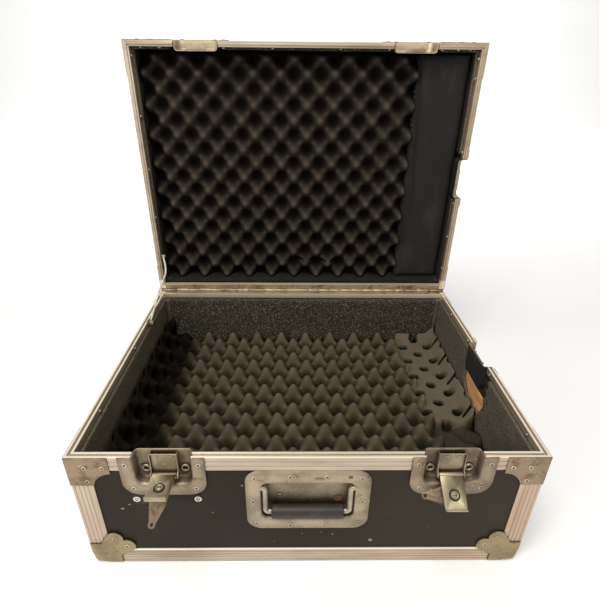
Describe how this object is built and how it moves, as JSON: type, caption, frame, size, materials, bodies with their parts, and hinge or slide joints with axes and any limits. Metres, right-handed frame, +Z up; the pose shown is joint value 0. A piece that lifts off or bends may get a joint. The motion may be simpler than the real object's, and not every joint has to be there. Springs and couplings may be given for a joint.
{
  "type": "flight case",
  "caption": "Foam-lined flight case with a hinged lid, aluminium edging, recessed twist latches and a sprung carrying handle, shown open.",
  "frame": {"origin": "on the floor under the middle of the base's footprint, at the level of the corner caps' undersides", "axes": "+X right seen from the front, +Y to the hinged back, +Z up"},
  "size_m": [0.6907, 0.6398, 0.7237],
  "materials": {
    "black_laminate": "black laminate on plywood, scuffed",
    "aluminium_edging": "ribbed extrusion, worn and dull",
    "corner_steel": "zinc plated, tarnished, rust at the edges",
    "rivet": "pop rivet head",
    "plated_steel": "yellow zinc plate, tarnished",
    "rusty_key": "rusted steel",
    "hinge_steel": "rusty rolled steel",
    "bail_steel": "plated wire",
    "handle_rubber": "matt black rubber",
    "acoustic_foam": "charcoal convoluted foam",
    "lining_foam": "charcoal reconstituted foam, flecked",
    "pad_cloth": "black woven cloth",
    "stay_cord": "pale cord",
    "blank_plate": "blank black plate"
  },
  "bodies": {
    "base": {"base_ball_corners": "corner_steel", "base_bottom_edging": "aluminium_edging", "base_floor_foam": "acoustic_foam", "base_panel_bottom": "black_laminate", "base_panel_front": "black_laminate", "base_panel_left": "black_laminate", "base_panel_rear": "black_laminate", "base_panel_right": "black_laminate", "base_rim_braces": "corner_steel", "base_rim_front": "aluminium_edging", "base_rim_left": "aluminium_edging", "base_rim_rear": "aluminium_edging", "base_rim_right": "aluminium_edging", "base_rivets": "rivet", "base_upright_edging": "aluminium_edging", "base_wall_lining": "lining_foam", "handle_dish": "plated_steel", "handle_springs": "bail_steel", "hinge_base_leaf": "hinge_steel", "hinge_pin": "hinge_steel", "latch_left_bracket": "plated_steel", "latch_left_dish": "plated_steel", "latch_right_bracket": "plated_steel", "latch_right_dish": "plated_steel", "latch_side_bracket": "plated_steel", "latch_side_dish": "plated_steel", "lid_stay_anchor_base": "plated_steel", "lid_stay_cord": "stay_cord", "name_plate": "blank_plate"},
    "lid": {"lid_ball_corners": "corner_steel", "lid_foam": "acoustic_foam", "lid_pad": "pad_cloth", "lid_panel_front": "black_laminate", "lid_panel_left": "black_laminate", "lid_panel_rear": "black_laminate", "lid_panel_right": "black_laminate", "lid_panel_top": "black_laminate", "lid_rim_braces": "corner_steel", "lid_rim_front": "aluminium_edging", "lid_rim_left": "aluminium_edging", "lid_rim_rear": "aluminium_edging", "lid_rim_right": "aluminium_edging", "lid_rivets": "rivet", "lid_stay_anchor_lid": "plated_steel", "lid_top_edging": "aluminium_edging", "lid_upright_edging": "aluminium_edging", "lid_wall_lining": "lining_foam", "hinge_lid_leaf": "hinge_steel", "latch_keepers": "plated_steel"},
    "handle": {"handle_bail": "bail_steel", "handle_grip": "handle_rubber"},
    "latch_left_arm": {"latch_left_arm": "plated_steel"},
    "latch_left_spindle": {"latch_left_spindle": "plated_steel"},
    "latch_left_key": {"latch_left_key": "rusty_key"},
    "latch_right_arm": {"latch_right_arm": "plated_steel"},
    "latch_right_spindle": {"latch_right_spindle": "plated_steel"},
    "latch_right_key": {"latch_right_key": "rusty_key"},
    "latch_side_arm": {"latch_side_arm": "plated_steel"},
    "latch_side_spindle": {"latch_side_spindle": "plated_steel"},
    "latch_side_key": {"latch_side_key": "rusty_key"}
  },
  "joints": [
    {"name": "lid_hinge", "type": "hinge", "parent": "base", "child": "lid", "pos_m": [0, 0.2505, 0.2225], "axis": [1, 0, 0], "range_deg": [0, 88.5], "deforming": ["lid_stay_cord"]},
    {"name": "handle_swing", "type": "hinge", "parent": "base", "child": "handle", "pos_m": [0, -0.2415, 0.158], "axis": [-1, 0, 0], "range_deg": [0, 90], "stiffness_Nm_per_rad": 0.15, "springref_deg": -34.38},
    {"name": "latch_left_arm_hinge", "type": "hinge", "parent": "base", "child": "latch_left_arm", "pos_m": [-0.197, -0.2425, 0.183], "axis": [-1, 0, 0], "range_deg": [-41, 85]},
    {"name": "latch_left_twist", "type": "hinge", "parent": "latch_left_arm", "child": "latch_left_spindle", "pos_m": [-0.197, -0.2684, 0.18527], "axis": [0, 0.0872, 0.9962], "range_deg": [-75, 105]},
    {"name": "latch_left_key_fold", "type": "hinge", "parent": "latch_left_spindle", "child": "latch_left_key", "pos_m": [-0.197, -0.26901, 0.17829], "axis": [0.9659, -0.2578, 0.0226], "range_deg": [-45, 45]},
    {"name": "latch_right_arm_hinge", "type": "hinge", "parent": "base", "child": "latch_right_arm", "pos_m": [0.197, -0.2425, 0.183], "axis": [-1, 0, 0], "range_deg": [0, 126]},
    {"name": "latch_right_twist", "type": "hinge", "parent": "latch_right_arm", "child": "latch_right_spindle", "pos_m": [0.197, -0.26353, 0.16772], "axis": [0, -0.5878, 0.809], "range_deg": [0, 180]},
    {"name": "latch_right_key_fold", "type": "hinge", "parent": "latch_right_spindle", "child": "latch_right_key", "pos_m": [0.197, -0.25942, 0.16205], "axis": [0, -0.809, -0.5878], "range_deg": [0, 5]},
    {"name": "latch_side_arm_hinge", "type": "hinge", "parent": "base", "child": "latch_side_arm", "pos_m": [0.3205, -0.006, 0.183], "axis": [0, -1, 0], "range_deg": [0, 126]},
    {"name": "latch_side_twist", "type": "hinge", "parent": "latch_side_arm", "child": "latch_side_spindle", "pos_m": [0.34153, -0.006, 0.16772], "axis": [0.5878, 0, 0.809], "range_deg": [-180, 0]},
    {"name": "latch_side_key_fold", "type": "hinge", "parent": "latch_side_spindle", "child": "latch_side_key", "pos_m": [0.33742, -0.006, 0.16205], "axis": [-0.809, 0, 0.5878], "range_deg": [0, 5]}
  ]
}
